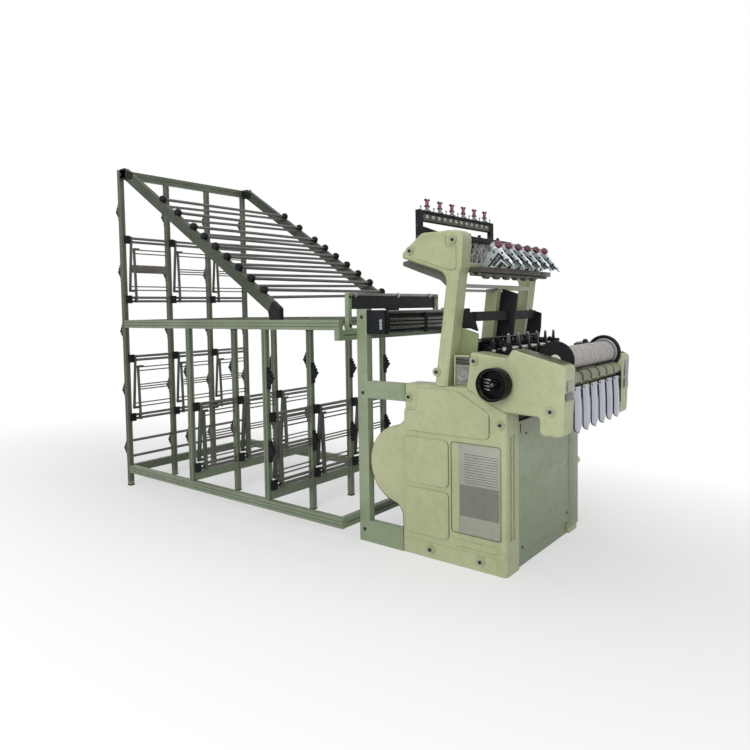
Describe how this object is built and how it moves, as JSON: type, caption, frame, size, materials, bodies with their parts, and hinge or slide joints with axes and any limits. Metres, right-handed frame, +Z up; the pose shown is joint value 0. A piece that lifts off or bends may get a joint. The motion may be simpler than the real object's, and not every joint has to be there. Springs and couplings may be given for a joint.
{
  "type": "needle loom",
  "caption": "Narrow-fabric needle loom with cast side frames, leaning yarn arms, take-up rollers and a tall steel creel frame behind it.",
  "frame": {"origin": "middle of the whole machine's footprint, on the floor", "axes": "+Z up, +Y along the warp from the loom to the creel, +X across the machine towards its far side"},
  "size_m": [1.062, 2.997, 2.074],
  "materials": {
    "green_frame": "semi-gloss green paint, slightly worn",
    "casting_paint": "satin pale yellow-green paint on cast iron",
    "sheet_paint": "satin blue-green paint on sheet steel",
    "black_steel": "black oxide and black paint",
    "bright_steel": "bright drawn steel",
    "black_plastic": "moulded black plastic",
    "red_plastic": "dark red moulded plastic",
    "roller_wrap": "grey mottled grip covering",
    "olive_rubber": "olive rubber covering",
    "rubber_feet": "black rubber"
  },
  "bodies": {
    "root": {"base_ties": "green_frame", "beam_brackets": "black_steel", "beam_rods": "bright_steel", "bed": "casting_paint", "brake_levers": "green_frame", "centre_column": "casting_paint", "chute_rail": "black_steel", "creel_black_brackets": "black_steel", "creel_end_beams": "green_frame", "creel_far_rails": "green_frame", "creel_feet": "rubber_feet", "creel_front_beams": "green_frame", "creel_front_posts": "green_frame", "creel_middle_beams": "green_frame", "creel_middle_posts": "green_frame", "creel_near_rails": "green_frame", "creel_rear_beams": "green_frame", "creel_rear_posts": "green_frame", "creel_slope_rails": "green_frame", "cross_bar": "bright_steel", "far_arm": "casting_paint", "far_housing": "casting_paint", "far_side_frame": "casting_paint", "feeder_bar": "black_steel", "feeder_knobs": "red_plastic", "front_panel": "sheet_paint", "guard_plate": "casting_paint", "guide_plates": "black_steel", "guide_tube_balls": "black_plastic", "guide_tubes": "bright_steel", "harness_bars": "black_steel", "harness_springs": "bright_steel", "link_beams": "green_frame", "lower_guide_tubes": "bright_steel", "near_arm": "casting_paint", "near_housing": "casting_paint", "near_side_frame": "casting_paint", "rack_brackets": "black_steel", "rack_posts": "green_frame", "rack_tray": "black_steel", "rack_tubes": "bright_steel", "rear_panel": "sheet_paint", "rod_clamps": "black_steel", "support_posts": "green_frame", "tape_chutes": "bright_steel", "tension_rail": "black_steel", "tension_wires": "bright_steel", "tensioner_caps": "red_plastic", "tensioners": "bright_steel", "weaving_heads": "casting_paint", "weft_feeders": "bright_steel", "weft_pedestals": "casting_paint"},
    "handwheel": {"handwheel": "black_plastic"},
    "take_up": {"take_up_roller": "roller_wrap", "take_up_flanges": "black_steel"},
    "press": {"press_rollers": "olive_rubber", "press_shaft": "bright_steel"},
    "weft_drive": {"weft_shaft": "bright_steel", "weft_arms": "bright_steel"}
  },
  "joints": [
    {"name": "handwheel_spin", "type": "hinge", "parent": "root", "child": "handwheel", "pos_m": [-0.389, -1.2075, 0.828], "axis": [-1, 0, 0], "continuous": true},
    {"name": "take_up_spin", "type": "hinge", "parent": "root", "child": "take_up", "pos_m": [0.016, -1.4115, 0.926], "axis": [1, 0, 0], "continuous": true},
    {"name": "press_spin", "type": "hinge", "parent": "root", "child": "press", "pos_m": [0.016, -1.4625, 0.85], "axis": [1, 0, 0], "continuous": true},
    {"name": "weft_swing", "type": "hinge", "parent": "root", "child": "weft_drive", "pos_m": [0.016, -1.1765, 0.966], "axis": [1, 0, 0], "range_deg": [-25, 25]}
  ]
}
